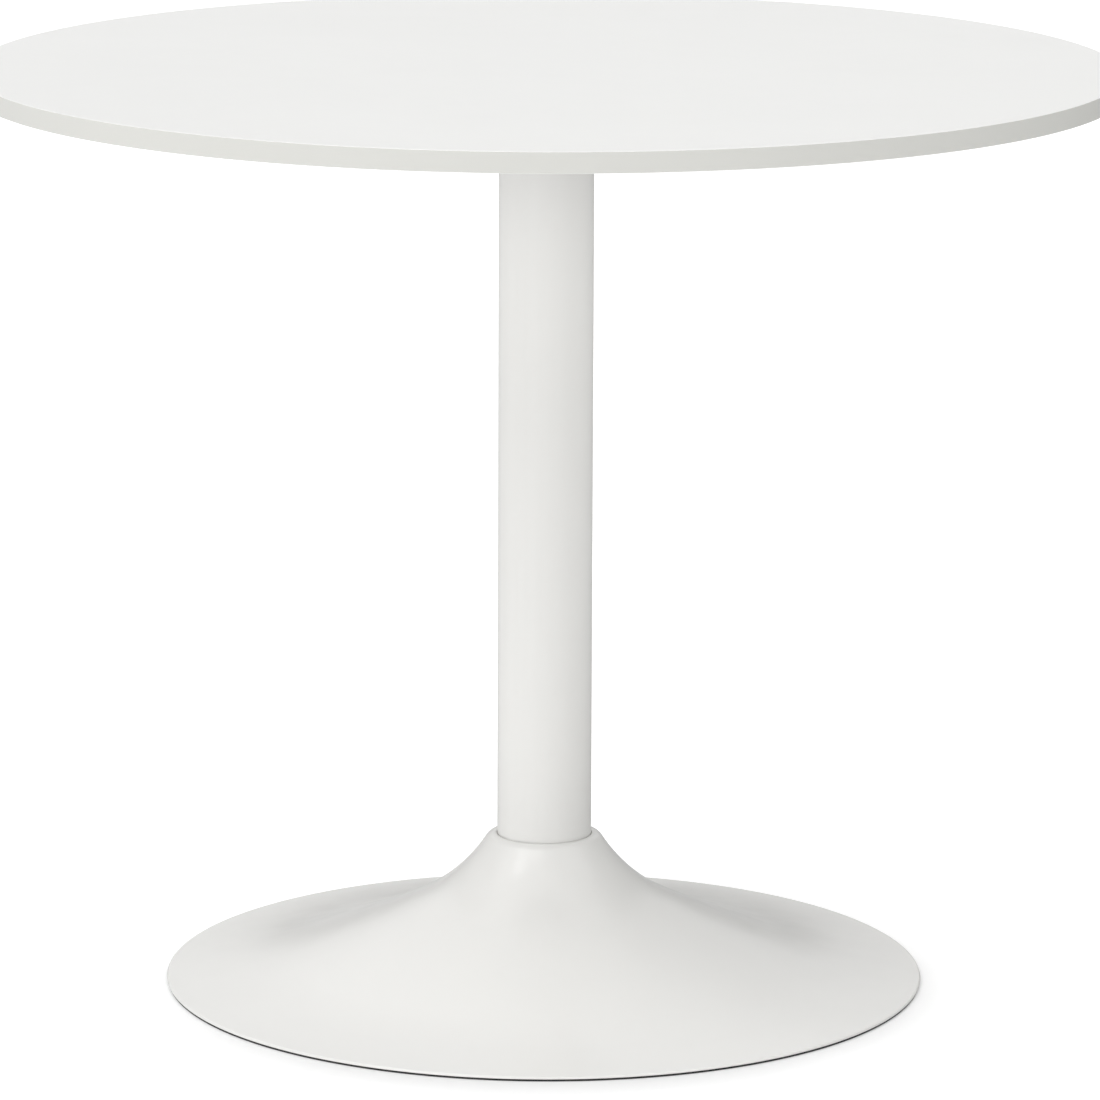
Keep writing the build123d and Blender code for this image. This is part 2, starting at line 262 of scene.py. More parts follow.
def thread_rows(nominal, pitch, bottom, top, per_turn=8):
    """Rows of a screw thread, rising from bottom to top, that fades out over its first and last turn.

    Its crest and root are narrow flats, with straight flanks between them.
    """
    depth = THREAD_DEPTH * pitch
    count = max(2, round((top - bottom) / pitch * per_turn))

    def row_at(z):
        fade = min(1.0, (z - bottom) / pitch, (top - z) / pitch)

        def row(angle):
            phase = ((z - bottom) / pitch - angle / TURN) % 1.0
            height = min(1.0, max(0.0, 2.4 * abs(phase - 0.5) - 0.1))
            return nominal - depth * (1 - height * fade), z
        return row

    return [row_at(bottom + (top - bottom) * k / count) for k in range(count + 1)]


def rod(nominal, pitch, bottom, top, thread_low, thread_high, segments=32):
    """A round bar threaded at its lower end up to thread_low and at its upper end from thread_high."""
    chamfer = 0.3 * MM
    run_out = 0.8 * MM
    end_radius = nominal - THREAD_DEPTH * pitch - chamfer
    rows = [(0, bottom), (end_radius, bottom)]
    rows += thread_rows(nominal, pitch, bottom + chamfer, thread_low)
    rows += [(nominal, thread_low + run_out), (nominal, thread_high - run_out)]
    rows += thread_rows(nominal, pitch, thread_high, top - chamfer)
    rows += [(end_radius, top), (0, top)]
    return turned(rows, segments, closed=False)


def washer(outer, inner, bottom, top, segments=48):
    """A stamped washer: rounded over at its upper edges, nearly sharp below."""
    ease = min(0.3 * MM, (top - bottom) / 4)
    corners = [(inner, bottom), (outer, bottom, ease / 2), (outer, top, ease), (inner, top, ease)]
    return turned(rounded(corners, 3), segments)


# ---------------------------------------------------------------- materials
def new_material(name, color, roughness, **sockets):
    """A Principled material. Its other sockets are given by name with underscores for spaces."""
    made = bpy.data.materials.new(name)
    made.use_nodes = True
    shader = made.node_tree.nodes["Principled BSDF"]
    shader.inputs["Base Color"].default_value = (*color, 1)
    shader.inputs["Roughness"].default_value = roughness
    for key, value in sockets.items():
        shader.inputs[key.replace("_", " ")].default_value = value
    return made


class Graph:
    """Short calls for adding texture nodes to a material, on the object's own coordinates."""

    def __init__(self, material):
        self.tree = material.node_tree
        self.shader = self.tree.nodes["Principled BSDF"]
        self.place = self.add("ShaderNodeTexCoord").outputs["Object"]

    def add(self, kind, **settings):
        node = self.tree.nodes.new(kind)
        for key, value in settings.items():
            setattr(node, key, value)
        return node

    def link(self, source, target):
        self.tree.links.new(source, target)

    def noise(self, scale, detail=2.0, roughness=0.5, stretch=None):
        """Noise with so many lumps a metre. Stretch scales each direction; below 1 draws the lumps out."""
        node = self.add("ShaderNodeTexNoise")
        node.inputs["Scale"].default_value = scale
        node.inputs["Detail"].default_value = detail
        node.inputs["Roughness"].default_value = roughness
        source = self.place
        if stretch:
            mapping = self.add("ShaderNodeMapping")
            mapping.inputs["Scale"].default_value = stretch
            self.link(source, mapping.inputs["Vector"])
            source = mapping.outputs["Vector"]
        self.link(source, node.inputs["Vector"])
        return node.outputs["Fac"]

    def spread(self, source, low_value, high_value, start=0.3, end=0.7, curve="LINEAR"):
        """Map a pattern's values from start to end onto a range of values."""
        node = self.add("ShaderNodeMapRange", interpolation_type=curve)
        node.inputs["From Min"].default_value = start
        node.inputs["From Max"].default_value = end
        node.inputs["To Min"].default_value = low_value
        node.inputs["To Max"].default_value = high_value
        self.link(source, node.inputs["Value"])
        return node.outputs["Result"]

    def blend(self, source, first, second):
        """A colour between two, by a pattern."""
        node = self.add("ShaderNodeMix", data_type="RGBA")
        colors = [s for s in node.inputs if s.type == "RGBA"]
        colors[0].default_value = (*first, 1)
        colors[1].default_value = (*second, 1)
        self.link(source, node.inputs["Factor"])
        return [s for s in node.outputs if s.type == "RGBA"][0]

    def bump(self, *layers):
        """Bump layers of (pattern, height in metres), one on top of the other."""
        last = None
        for source, height in layers:
            node = self.add("ShaderNodeBump")
            node.inputs["Strength"].default_value = 1.0
            node.inputs["Distance"].default_value = height
            self.link(source, node.inputs["Height"])
            if last:
                self.link(last, node.inputs["Normal"])
            last = node.outputs["Normal"]
        self.link(last, self.shader.inputs["Normal"])


def lacquer(name, color):
    """Sprayed white lacquer on board: satin gloss with slightly cloudy sheen, and faint orange peel."""
    made = new_material(name, color, 0.3, IOR=1.48)
    g = Graph(made)
    tint = g.spread(g.noise(5.0, 3.0), 0.0, 1.0)
    g.link(g.blend(tint, color, tuple(c * 0.985 for c in color)), g.shader.inputs["Base Color"])
    g.link(g.spread(g.noise(30.0, 3.0, 0.6), 0.29, 0.33), g.shader.inputs["Roughness"])
    g.bump((g.noise(650.0, 2.0), 0.000004))
    return made


def powder_coat(name, color, roughness=0.2, peel=0.000004):
    """Glossy powder coat on steel: orange peel about 2 mm across over slow waves in the sheet."""
    made = new_material(name, color, roughness, IOR=1.5)
    g = Graph(made)
    tint = g.spread(g.noise(7.0, 2.0), 0.0, 1.0)
    g.link(g.blend(tint, color, tuple(c * 0.985 for c in color)), g.shader.inputs["Base Color"])
    g.link(g.spread(g.noise(35.0, 2.0), roughness, roughness + 0.03), g.shader.inputs["Roughness"])
    g.bump((g.noise(9.0, 0.0), 0.00003), (g.noise(420.0, 1.0), peel))
    return made


def rubber(name):
    """Moulded black rubber, matt, with a dusty bloom and fine moulding texture."""
    made = new_material(name, (0.03, 0.03, 0.03), 0.8)
    g = Graph(made)
    bloom = g.spread(g.noise(90.0, 5.0, 0.7), 0.0, 1.0, 0.45, 0.75)
    g.link(g.blend(bloom, (0.022, 0.022, 0.023), (0.06, 0.058, 0.055)), g.shader.inputs["Base Color"])
    g.link(g.spread(g.noise(200.0, 3.0), 0.7, 0.9), g.shader.inputs["Roughness"])
    g.bump((g.noise(1800.0, 3.0), 0.00002))
    return made


def steel(name, color, roughness, spangle=0.0):
    """Plated or bare steel: cloudy tone, handling marks, fine drawn grain."""
    made = new_material(name, color, roughness, Metallic=1.0)
    g = Graph(made)
    cloud = g.spread(g.noise(120.0, 4.0, 0.6), 0.0, 1.0)
    g.link(g.blend(cloud, color, tuple(c * (0.8 - spangle) for c in color)), g.shader.inputs["Base Color"])
    g.link(g.spread(g.noise(400.0, 4.0), roughness - 0.08, roughness + 0.12), g.shader.inputs["Roughness"])
    g.bump((g.noise(2500.0, 2.0, stretch=(1.0, 1.0, 0.1)), 0.000004))
    return made


def cast_iron(name):
    """Sand-cast iron in black dip paint: lumpy, pitted, rust-brown in the pits."""
    made = new_material(name, (0.05, 0.05, 0.052), 0.65)
    g = Graph(made)
    pits = g.noise(160.0, 6.0, 0.7)
    rust = g.spread(pits, 0.0, 1.0, 0.58, 0.72)
    g.link(g.blend(rust, (0.045, 0.045, 0.048), (0.10, 0.055, 0.035)), g.shader.inputs["Base Color"])
    g.link(g.spread(pits, 0.55, 0.85), g.shader.inputs["Roughness"])
    g.bump((g.noise(60.0, 3.0), 0.0002), (g.noise(700.0, 4.0), 0.00005))
    return made


def nylon(name):
    """Natural nylon: slightly yellow, soft, translucent-looking."""
    made = new_material(name, (0.78, 0.76, 0.70), 0.45, Subsurface_Weight=0.2, Subsurface_Scale=0.002)
    g = Graph(made)
    g.link(g.spread(g.noise(150.0, 3.0), 0.38, 0.55), g.shader.inputs["Roughness"])
    g.bump((g.noise(900.0, 2.0), 0.00001))
    return made


def weld(name):
    """Weld metal: blotches of dark heat colour on a rough grey bead."""
    made = new_material(name, (0.3, 0.29, 0.28), 0.45, Metallic=1.0)
    g = Graph(made)
    heat = g.spread(g.noise(500.0, 4.0, 0.7), 0.0, 1.0)
    g.link(g.blend(heat, (0.34, 0.33, 0.32), (0.12, 0.10, 0.11)), g.shader.inputs["Base Color"])
    g.link(g.spread(g.noise(900.0, 3.0), 0.35, 0.6), g.shader.inputs["Roughness"])
    g.bump((g.noise(2200.0, 3.0), 0.00002))
    return made


TOP_WHITE = (0.85, 0.85, 0.835)
# The top's own white lacquer, painted darker and warmer for the upright edge: painted shade, plus a painted
# warm cast from the side light.
EDGE_PAINTED_SHADE_WHITE = (0.61, 0.61, 0.58)
COAT_WHITE = (0.78, 0.775, 0.755)
white_lacquer = lacquer("white_lacquer", TOP_WHITE)
edge_painted_shade_lacquer = lacquer("white_lacquer_edge_painted_shade", EDGE_PAINTED_SHADE_WHITE)
white_coat = powder_coat("white_powder_coat", COAT_WHITE)
black_coat = powder_coat("black_powder_coat", (0.03, 0.03, 0.032), 0.42, 0.00003)
grey_coat = powder_coat("grey_e_coat", (0.05, 0.052, 0.055), 0.5, 0.00001)
black_rubber = rubber("black_rubber")
zinc = steel("zinc_plated_steel", (0.62, 0.63, 0.64), 0.34)
bare_steel = steel("bare_steel", (0.42, 0.41, 0.40), 0.45, 0.15)
iron = cast_iron("cast_iron")
white_nylon = nylon("white_nylon")
weld_metal = weld("weld_metal")


# ---------------------------------------------------------------- top
def make_top():
    """The board, with a pocket for each insert. Its upright edge is in the darker, warmer of the two whites:
    painted shade and a painted warm cast, standing in for the lesser, warmer light on the edge.
    """
    under, over = low("tabletop"), high("tabletop")
    edge = radius("tabletop")
    ease = 0.7 * MM
    rings = [edge * k / 6 for k in range(1, 6)]
    corners = [(0, under)] + [(r, under) for r in rings] + [(edge, under, ease), (edge, over, ease)]
    corners += [(r, over) for r in reversed(rings)] + [(0, over)]
    shape = turned(rounded(corners, 8), 288, closed=False)
    hole = 4.55 * MM
    chamfer = 0.4 * MM
    depth = high("tabletop_inserts") + MM
    pocket = turned([(0, under - MM), (hole + chamfer, under - MM), (hole + chamfer, under),
                     (hole, under + chamfer), (hole, depth), (0, depth + 2 * MM)], 32, closed=False)
    board = piece("table_top_board", shape, "tabletop", white_lacquer,
                  around(pocket, screw_circle, TOP_SCREWS))
    board.data.materials.append(edge_painted_shade_lacquer)
    # The upright edge faces take the painted shade.
    for face in board.data.polygons:
        if face.center.xy.length > edge - ease and abs(face.normal.z) < 0.5:
            face.material_index = 1


def make_inserts():
    """Threaded inserts: coarse wood thread outside, flush below."""
    bottom, top = low("tabletop_inserts"), high("tabletop_inserts")
    outer, bore = INSERT_RADIUS, 3.05 * MM
    ease = 0.3 * MM
    rows = [(bore + ease, bottom), (outer - 0.1 * MM, bottom), (outer, bottom + 0.2 * MM),
            (outer, bottom + 1.2 * MM)]
    rows += thread_rows(outer, 1.8 * MM, bottom + 1.4 * MM, top - 0.2 * MM, 6)
    rows += [(outer - 1.3 * MM, top), (bore, top), (bore, bottom + ease)]
    inserts = around(turned(rows, 28), screw_circle, TOP_SCREWS)
    piece("threaded_inserts", inserts, "tabletop_inserts", zinc)


def make_plate():
    """The mounting plate. Its screw holes are eased at both faces."""
    bottom, top = low("top_plate"), high("top_plate")
    edge = radius("top_plate")
    small = 0.3 * MM
    outline = rounded([(ROD_HOLE, bottom, small), (edge, bottom, 0.8 * MM), (edge, top, small),
                       (ROD_HOLE, top, small)], 4)
    ease = 0.25 * MM
    mouth = SCREW_HOLE + ease + MM
    through = turned([(0, bottom - MM), (mouth, bottom - MM), (SCREW_HOLE, bottom + ease),
                      (SCREW_HOLE, top - ease), (mouth, top + MM), (0, top + MM)], 32, closed=False)
    piece("mounting_plate", turned(outline, 192), "top_plate", black_coat,
          around(through, screw_circle, TOP_SCREWS))


def button_screw():
    """A button-head socket screw, upright with its head down."""
    head_low, tip = low("top_plate_screws"), high("top_plate_screws")
    head_high = low("top_plate_washers")
    outer = 5.25 * MM
    crown = 0.55
    dome_height = (head_high - head_low) * 0.8
    socket = 4 * MM
    floor = head_low + 2 * MM
    dome = []
    for k in range(9):
        turn = math.radians(90 * k / 8)
        reach = outer * (crown + (1 - crown) * math.sin(turn))
        dome.append((reach, head_low + dome_height * (1 - math.cos(turn))))
    rows = [(0, floor + 0.4 * MM), socket_row(socket, floor), socket_row(socket, head_low + 0.15 * MM),
            (socket / 2 * 1.2, head_low)] + dome
    rows += [(outer, head_high - 0.1 * MM), (outer - 0.1 * MM, head_high), (3.1 * MM, head_high),
             (2.4 * MM, head_high + 0.3 * MM)]
    rows += thread_rows(3 * MM, 1 * MM, head_high + 0.5 * MM, tip - 0.4 * MM, 6)
    rows += [(2.1 * MM, tip), (0, tip)]
    return turned(rows, 24, closed=False)


def make_plate_fixings():
    """The screws that hold the plate to the top, and their washers."""
    screws = around(button_screw(), screw_circle, TOP_SCREWS)
    piece("plate_screws", screws, "top_plate_screws", zinc)
    ring = washer(9 * MM, SCREW_HOLE, low("top_plate_washers"), high("top_plate_washers"))
    piece("plate_washers", around(ring, screw_circle, TOP_SCREWS), "top_plate_washers", zinc)


# ---------------------------------------------------------------- column and tie rod
def weld_bead(corner_r, corner_z, out, up, size, ripples, segments=240):
    """A rippled fillet weld in the corner of two faces. Out and up say which way it bulges: 1 or -1 each."""
    def row(turn):
        def at(angle):
            ripple = 1 + 0.10 * math.sin(ripples * angle + 2.2 * math.sin(turn)) + 0.05 * math.sin(7 * angle)
            reach = size * ripple * (0.82 + 0.18 * math.sin(2 * turn))
            return corner_r + out * reach * math.cos(turn), corner_z + up * reach * math.sin(turn)
        return at

    rows = [(corner_r, corner_z)] + [row(math.radians(90) * k / 8) for k in range(9)]
    if out * up < 0:
        rows.reverse()
    return turned(rows, segments)


def make_spigot(node, name, bead_name, bead_z, bead_up):
    """A spigot ring, chamfered at its free end, and the weld bead inside its other end."""
    bottom, top = low(node), high(node)
    outer = radius(node)
    inner = outer - 3 * MM
    free_top = bead_up > 0
    chamfer = 1.0 * MM
    small = 0.3 * MM
    if free_top:
        corners = [(inner, bottom), (outer, bottom), (outer, top - chamfer, small),
                   (outer - chamfer, top, small), (inner, top, small)]
    else:
        corners = [(inner, bottom, small), (outer - chamfer, bottom, small),
                   (outer, bottom + chamfer, small), (outer, top), (inner, top)]
    look, slot = (bare_steel, "bare_steel") if free_top else (black_coat, "black_coat")
    piece(name, turned(rounded(corners, 3), 128), node, look)
    piece(bead_name, weld_bead(inner, bead_z, -1, bead_up, 3 * MM, 64), None, weld_metal)


def make_weld_nut():
    """The nut under the mounting plate, with a tack of weld at every second corner."""
    node = "top_plate_weld_nut"
    bottom, top = low(node), high(node)
    nut = turned(hex_rows(19 * MM, bottom, top, ROD_NUT_BORE), 72)
    piece("weld_nut", nut, node, bare_steel)
    lump = 2.2 * MM
    rows = [(0, top - lump)]
    for k in range(1, 9):
        turn = math.radians(90) * k / 8
        rows.append((lump * 1.3 * math.sin(turn), top - lump * math.cos(turn)))
    rows.append((0, top))
    tack = turned(rows, 20, closed=False)
    piece("weld_nut_tacks", around(tack, 10.4 * MM, 3), None, weld_metal)


def make_column():
    """The plain tube, its ends just eased."""
    bottom, top = low("column_tube"), high("column_tube")
    outer = radius("column_tube")
    inner = outer - COLUMN_WALL
    ease = 0.3 * MM
    outline = rounded([(outer, bottom, ease), (outer, top, ease),
                       (inner, top, ease), (inner, bottom, ease)], 3)
    piece("column", turned(outline, 192), "column_tube", white_coat)


def make_tie_rod():
    """The M12 rod that pulls plate, column and base together."""
    bottom, top = low("tie_rod"), high("tie_rod")
    shape = rod(6 * MM, 1.75 * MM, bottom, top, bottom + 60 * MM, top - 40 * MM)
    piece("tie_rod_bar", shape, "tie_rod", zinc)


# ---------------------------------------------------------------- base cover
# The surface line, from the neck out: a flat lip, a shoulder arc, then flare arcs that flatten as they go
# out. Each flare arc is its radius and the slope it ends at, in degrees. The last one ends at the rim.
NECK_LIP_END = 39.6 * MM
SHOULDER_RADIUS = 8.3 * MM
SHOULDER_SLOPE = 57.0
FLARE_ARCS = [(148 * MM, 28.0), (700 * MM, 19.0), (265 * MM, 8.0)]
FLARE_LAST_RADIUS = 530 * MM
RIM_RADIUS = 1.7 * MM


def arc_points(at, slope_from, slope_to, bend, steps):
    """Points after `at` along an arc that starts falling at slope_from and ends at slope_to, in degrees.

    Bend is the arc's radius, positive where the surface flattens as it goes out, negative on the shoulder.
    """
    a0 = math.radians(slope_from)
    points = []
    for k in range(1, steps + 1):
        a = math.radians(slope_from + (slope_to - slope_from) * k / steps)
        points.append((at[0] + bend * (math.sin(a0) - math.sin(a)),
                       at[1] - bend * (math.cos(a) - math.cos(a0))))
    return points


def cover_line(inset, neck):
    """The cover's surface line from the neck's lip to the rim, set in by the sheet or by nothing."""
    edge = radius("base_shell") - inset
    points = [(neck, high("base_shell") - inset), (NECK_LIP_END, high("base_shell") - inset)]
    points += arc_points(points[-1], 0.0, SHOULDER_SLOPE, -(SHOULDER_RADIUS - inset), 20)
    slope = SHOULDER_SLOPE
    for bend, end_slope in FLARE_ARCS:
        points += arc_points(points[-1], slope, end_slope, bend + inset, 24)
        slope = end_slope
    last = FLARE_LAST_RADIUS + inset
    reach = math.sin(math.radians(slope)) - (edge - points[-1][0]) / last
    points += arc_points(points[-1], slope, math.degrees(math.asin(reach)), last, 16)
    rim_top = points.pop()
    return points, rim_top


def make_cover():
    """The sheet between its outer line and the same line set in by its thickness."""
    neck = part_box("column_tube")[1].x + 0.5 * MM
    foot = low("base_shell")
    outside, rim_top = cover_line(0.0, neck)
    inside, rim_under = cover_line(SHEET, neck)
    corners = [(neck, inside[0][1], 0.3 * MM), (neck, outside[0][1], 0.5 * MM)] + outside[1:]
    corners += [(*rim_top, RIM_RADIUS), (rim_top[0], foot, 0.1 * MM), (rim_under[0], foot, 0.1 * MM),
                (*rim_under, RIM_RADIUS - SHEET)] + inside[:0:-1]
    rows = rounded(corners, 8)
    rows.reverse()
    piece("base_cover", turned(rows, 320), "base_shell", white_coat)


def make_bush():
    """The centring bush, stepped at its upper end to fit the cover's neck."""
    bottom, top = low("neck_bush"), high("neck_bush")
    outer = radius("neck_bush")
    bore = radius("column_tube") + 0.1 * MM
    ease = 0.4 * MM
    step_z = top - 1.3 * MM
    step_r = outer - 2.6 * MM
    small = 0.2 * MM
    outline = rounded([(bore, bottom, ease), (outer, bottom, ease), (outer, step_z, ease),
                       (step_r, step_z), (step_r, top, small), (bore, top, small)], 3)
    piece("centring_bush", turned(outline, 128), "neck_bush", white_nylon)


# ---------------------------------------------------------------- inside the base
def make_ballast():
    """The cast ring. Its upper face is lumpy, and its pan screw holes are countersunk below."""
    bottom, top = low("ballast_ring"), high("ballast_ring")
    outer, inner = radius("ballast_ring"), 92 * MM
    lumps = 0.16 * MM

    def rough(r, z):
        def row(angle):
            spot = Vector((r * math.cos(angle), r * math.sin(angle), z))
            coarse = lumps * (0.5 + 0.5 * noise.noise(spot * 90))
            fine = lumps * 0.6 * (0.5 + 0.5 * noise.noise(spot * 320))
            return r, z - (coarse + fine)
        return row

    ease = 1.8 * MM
    steps = 24
    span = outer - inner - 3 * ease
    face = [(outer - 1.5 * ease - span * k / steps, top) for k in range(steps + 1)]
    corners = [(inner, bottom, 0.5 * MM), (outer, bottom, 0.5 * MM), (outer, top, ease)]
    corners += face + [(inner, top, ease)]
    rows = [rough(r, z) if z > top - ease * 0.9 else (r, z) for r, z in rounded(corners, 5)]
    hole = 2.55 * MM
    pocket = turned([(0, bottom - MM), (hole + 2.2 * MM, bottom - MM), (hole, bottom + 1.2 * MM),
                     (hole, top + MM), (0, top + MM)], 32, closed=False)
    piece("ballast_casting", turned(rows, 240), "ballast_ring", iron,
          around(pocket, pan_screw_circle, PAN_SCREWS))


def make_pan():
    """The pressed pan: flat round its outside, with a dome in the middle for the tie rod's nut."""
    floor_low = low("base_pan")
    dome_high = high("base_pan")
    edge = radius("base_pan")
    dome, foot = 70 * MM, 84 * MM
    bend = 4 * MM
    small = 0.3 * MM
    floor_high = floor_low + SHEET
    rise = math.atan2(dome_high - floor_low - SHEET, foot - dome)
    shift = SHEET * math.tan(rise / 2)
    upper = [(edge, floor_high, small), (foot, floor_high, bend), (dome, dome_high, bend),
             (ROD_HOLE, dome_high, small)]
    lower = [(ROD_HOLE, dome_high - SHEET, small), (dome - shift, dome_high - SHEET, bend - SHEET),
             (foot - shift, floor_low, bend + SHEET), (edge, floor_low, 0.5 * MM)]
    bolt_hole = hole_shape(BOLT_HOLE, dome_high - 3 * MM, dome_high + MM)
    head = PAN_HEAD_RADIUS + 0.2 * MM
    sink = turned([(0, floor_low - MM), (head + MM, floor_low - MM), (head - SHEET - MM, floor_high + MM),
                   (0, floor_high + MM)], 40, closed=False)
    cutters = together(around(bolt_hole, seat_bolt_circle, SEAT_BOLTS),
                       around(sink, pan_screw_circle, PAN_SCREWS))
    piece("pressed_pan", turned(rounded(lower + upper, 7), 224), "base_pan", grey_coat, cutters)


def make_pan_screws():
    """Countersunk socket screws, their heads down."""
    bottom, top = low("pan_screws"), high("pan_screws")
    head = PAN_HEAD_RADIUS
    shank = 2.5 * MM
    depth = 2.5 * MM
    socket = 3 * MM
    rows = [(0, bottom + 1.6 * MM), socket_row(socket, bottom + 1.4 * MM),
            socket_row(socket, bottom + 0.1 * MM), (socket / 2 * 1.2, bottom), (head - 0.15 * MM, bottom),
            (head, bottom + 0.15 * MM), (shank, bottom + depth)]
    rows += thread_rows(shank, 0.8 * MM, bottom + depth + 0.2 * MM, top - 0.4 * MM, 6)
    rows += [(1.8 * MM, top), (0, top)]
    screws = around(turned(rows, 24, closed=False), pan_screw_circle, PAN_SCREWS)
    piece("pan_screws_m5", screws, "pan_screws", zinc)


def make_seat():
    """The plate the column stands on, and the weld bead round the column's foot."""
    bottom, top = low("seat_flange"), high("seat_flange")
    edge = radius("seat_flange")
    bore_ease, edge_ease = 0.4 * MM, 0.5 * MM
    outline = rounded([(ROD_HOLE, bottom, bore_ease), (edge, bottom, edge_ease), (edge, top, edge_ease),
                       (ROD_HOLE, top, bore_ease)], 4)
    hole = hole_shape(BOLT_HOLE, bottom - MM, top + MM)
    piece("seat_plate", turned(outline, 160), "seat_flange", bare_steel,
          around(hole, seat_bolt_circle, SEAT_BOLTS))
    bead = weld_bead(radius("column_tube"), top, 1, 1, 3 * MM, 72)
    piece("column_foot_weld", bead, None, weld_metal)


def make_seat_bolts():
    """M8 bolts, heads up, with their nuts and washers below."""
    head_low, head_high = high("seat_flange"), high("seat_bolts")
    tip = low("seat_bolts")
    across_flats = 13 * MM
    shank = 3.95 * MM
    rows = [(0, tip), (3.0 * MM, tip)]
    rows += thread_rows(4 * MM, 1.25 * MM, tip + 0.4 * MM, tip + 11 * MM)
    rows += [(shank, head_low - 2.0 * MM), (shank, head_low)]
    rows += hex_rows(across_flats, head_low, head_high) + [(0, head_high)]
    bolts = around(turned(rows, 36, closed=False), seat_bolt_circle, SEAT_BOLTS)
    piece("seat_bolts_m8", bolts, "seat_bolts", zinc)
    nut = turned(hex_rows(across_flats, low("seat_nuts"), high("seat_nuts"), 4.05 * MM), 48)
    piece("seat_nuts_m8", around(nut, seat_bolt_circle, SEAT_BOLTS), "seat_nuts", zinc)
    ring = washer(SEAT_WASHER_RADIUS, BOLT_HOLE, low("seat_washers"), high("seat_washers"))
    piece("seat_washers_m8", around(ring, seat_bolt_circle, SEAT_BOLTS), "seat_washers", zinc)


def make_rod_fixings():
    """The flat washer and the nut at the tie rod's lower end."""
    node = "tie_rod_washer"
    flat_washer = washer(15 * MM, ROD_HOLE, low(node), high(node), 64)
    piece("rod_washer", flat_washer, node, zinc)
    node = "tie_rod_nut"
    nut = turned(hex_rows(18 * MM, low(node), high(node), ROD_NUT_BORE), 72)
    piece("rod_nut", nut, node, zinc)


def make_spring_washer():
    """A split washer: a square section swept almost round, its ends cut on the slant."""
    node = "tie_rod_spring_washer"
    bottom, top = low(node), high(node)
    inner, outer = 6.2 * MM, 10 * MM
    gap = 1.2 * MM
    lean = 0.12
    section = rounded([(inner, bottom, 0.25 * MM), (outer, bottom, 0.4 * MM), (outer, top, 0.4 * MM),
                       (inner, top, 0.25 * MM)], 3)
    steps = 72
    count = len(section)
    verts = []
    for k in range(steps + 1):
        for r, z in section:
            slant = (z - (bottom + top) / 2) / (top - bottom) * lean
            start = gap / 2 / r + slant
            angle = start + (TURN - gap / r) * k / steps
            verts.append((r * math.cos(angle), r * math.sin(angle), z))
    faces = []
    for k in range(steps):
        for i in range(count):
            j = (i + 1) % count
            a, b = k * count, (k + 1) * count
            faces.append((a + i, b + i, b + j, a + j))
    faces.append(tuple(range(count)))
    faces.append(tuple(steps * count + i for i in reversed(range(count))))
    piece("rod_spring_washer", (verts, faces), node, zinc)


def make_edge_ring():
    """The rubber ring, grooved underneath."""
    bottom, top = low("edge_ring"), high("edge_ring")
    outer = radius("edge_ring")
    inner = outer - 40 * MM
    grooves, width, pitch, depth = 8, 1.4 * MM, 4.5 * MM, 0.45 * MM
    draft = 0.2 * MM
    ease = 0.1 * MM
    corners = [(inner, bottom, 0.3 * MM)]
    for k in range(grooves):
        start = inner + 3.0 * MM + pitch * k
        corners += [(start, bottom, ease), (start + draft, bottom + depth, ease),
                    (start + width - draft, bottom + depth, ease), (start + width, bottom, ease)]
    corners += [(outer, bottom, 0.5 * MM), (outer, top, 0.2 * MM), (inner, top, 0.3 * MM)]
    piece("rubber_foot_ring", turned(rounded(corners, 3), 320), "edge_ring", black_rubber)


# ---------------------------------------------------------------- studio
# Lengths in metres, angles in degrees, lens and sensor in millimetres.
CAMERA_DISTANCE = 5.0808
CAMERA_HEIGHT = 1.4312
CAMERA_PITCH = 12.03
CAMERA_YAW = 0.043
CAMERA_ROLL = 0.218
LENS = 214.27
SENSOR = 36.0


def make_camera():
    data = bpy.data.cameras.new("camera")
    data.lens = LENS
    data.sensor_width = SENSOR
    data.clip_end = 100
    camera = bpy.data.objects.new("camera", data)
    bpy.context.collection.objects.link(camera)
    camera.location = (0, -CAMERA_DISTANCE, CAMERA_HEIGHT)
    aim = Vector((math.sin(math.radians(CAMERA_YAW)), math.cos(math.radians(CAMERA_YAW)),
                  -math.tan(math.radians(CAMERA_PITCH))))
    camera.rotation_mode = "QUATERNION"
    roll = Quaternion((0, 0, 1), math.radians(CAMERA_ROLL))
    camera.rotation_quaternion = aim.to_track_quat("-Z", "Y") @ roll
    bpy.context.scene.camera = camera


# Soft lamps, each by azimuth (0 is the camera's side, positive to the right), elevation, angle across,
# strength.
SOFT_LAMPS = [
    # A low front row, which lights the column right up to the top
    (-90, 3, 36, 0.14), (-60, 3, 36, 0.13), (-30, 3, 36, 0.26), (0, 3, 36, 0.20), (30, 3, 36, 0.13),
    # A high front row
    (-70, 50, 40, 0.36), (-35, 50, 40, 0.66), (0, 50, 40, 0.32), (70, 50, 40, 0.26),
    # Overhead
    (0, 89, 60, 0.65),
    # Behind the table
    (-130, 40, 60, 0.12), (180, 38, 60, 0.36),
    # A narrow one, for the gleam on the neck
    (-61, 57, 6, 0.12),
]
# How bright the sky is, and the ground on the middle line, and what the ground gains towards the right.
SKY_STRENGTH = 0.36
GROUND_STRENGTH = 0.5
GROUND_FALL = -0.4
FLOOR_SIZE = 60.0
FLOOR_ALBEDO = 0.78
FLOOR_GLOW = 0.40
# The soft shadow fades out between these distances from the base's edge, round a centre nearer the camera.
SHADOW_START = -0.062
SHADOW_END = 0.056
SHADOW_CENTRE = (0, -0.04, 0)


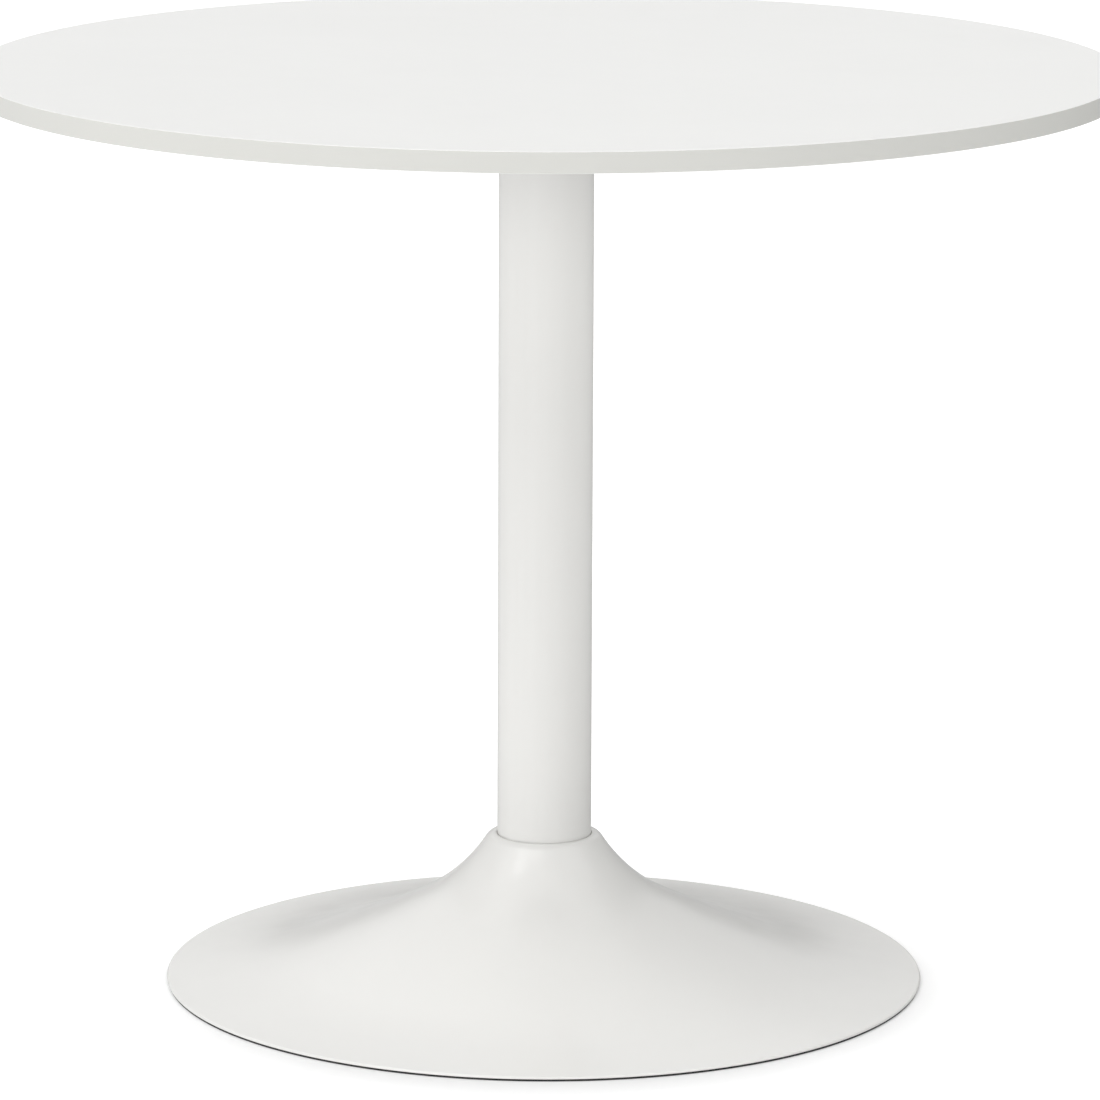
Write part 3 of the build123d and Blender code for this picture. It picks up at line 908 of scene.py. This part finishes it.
def soft_lamp(azimuth, elevation, across, strength):
    """A far-off round lamp that shines on the table from the given direction."""
    data = bpy.data.lights.new("soft_lamp", "SUN")
    data.angle = math.radians(across)
    data.energy = strength
    lamp = bpy.data.objects.new("soft_lamp", data)
    bpy.context.collection.objects.link(lamp)
    turn, rise = math.radians(azimuth), math.radians(elevation)
    source = Vector((math.sin(turn) * math.cos(rise), -math.cos(turn) * math.cos(rise), math.sin(rise)))
    lamp.rotation_mode = "QUATERNION"
    lamp.rotation_quaternion = (-source).to_track_quat("-Z", "Y")


def math_node(tree, operation, first, second):
    """A Math node on two inputs, each a socket or a number."""
    node = tree.nodes.new("ShaderNodeMath")
    node.operation = operation
    for socket, value in zip(node.inputs, (first, second)):
        if isinstance(value, float):
            socket.default_value = value
        else:
            tree.links.new(value, socket)
    return node.outputs[0]


def make_world():
    """White sky. Below the horizon only gloss sees the world, brighter on the left than on the right."""
    world = bpy.data.worlds.new("studio")
    bpy.context.scene.world = world
    world.use_nodes = True
    tree = world.node_tree
    split = tree.nodes.new("ShaderNodeSeparateXYZ")
    tree.links.new(tree.nodes.new("ShaderNodeTexCoord").outputs["Generated"], split.inputs[0])
    sky = math_node(tree, "MULTIPLY", math_node(tree, "GREATER_THAN", split.outputs["Z"], 0.0), SKY_STRENGTH)
    fall = math_node(tree, "MULTIPLY", split.outputs["X"], GROUND_FALL)
    ground = math_node(tree, "MULTIPLY", math_node(tree, "LESS_THAN", split.outputs["Z"], 0.0),
                       math_node(tree, "ADD", fall, GROUND_STRENGTH))
    shine = tree.nodes["Background"]
    shine.inputs["Color"].default_value = (1, 1, 1, 1)
    tree.links.new(math_node(tree, "ADD", sky, ground), shine.inputs["Strength"])


def make_floor():
    """A white floor that glows a little, less so close round the base, where the soft shadow lies."""
    half = FLOOR_SIZE / 2
    corners = [(-half, -half, 0), (half, -half, 0), (half, half, 0), (-half, half, 0)]
    floor = mesh_object("studio_floor", (corners, [(0, 1, 2, 3)]))
    paint = new_material("studio_white", (FLOOR_ALBEDO,) * 3, 0.9, Emission_Color=(1, 1, 1, 1))
    g = Graph(paint)
    distance = g.add("ShaderNodeVectorMath", operation="DISTANCE")
    g.link(g.place, distance.inputs[0])
    distance.inputs[1].default_value = SHADOW_CENTRE
    foot = radius("base_shell")
    start, end = foot + SHADOW_START, foot + SHADOW_END
    glow = g.spread(distance.outputs["Value"], 0.0, FLOOR_GLOW, start, end, "SMOOTHSTEP")
    g.link(glow, g.shader.inputs["Emission Strength"])
    floor.data.materials.append(paint)
    floor.visible_glossy = False


def make_studio():
    make_world()
    make_floor()
    for lamp in SOFT_LAMPS:
        soft_lamp(*lamp)
    bpy.context.scene.view_settings.view_transform = "Standard"


make_camera()
make_studio()
make_top()
make_inserts()
make_plate()
make_plate_fixings()
make_spigot("top_plate_spigot", "plate_spigot", "plate_spigot_weld", high("top_plate_spigot"), -1)
make_spigot("seat_spigot", "seat_spigot_ring", "seat_spigot_weld", low("seat_spigot"), 1)
make_weld_nut()
make_column()
make_tie_rod()
make_cover()
make_bush()
make_ballast()
make_pan()
make_pan_screws()
make_seat()
make_seat_bolts()
make_rod_fixings()
make_spring_washer()
make_edge_ring()
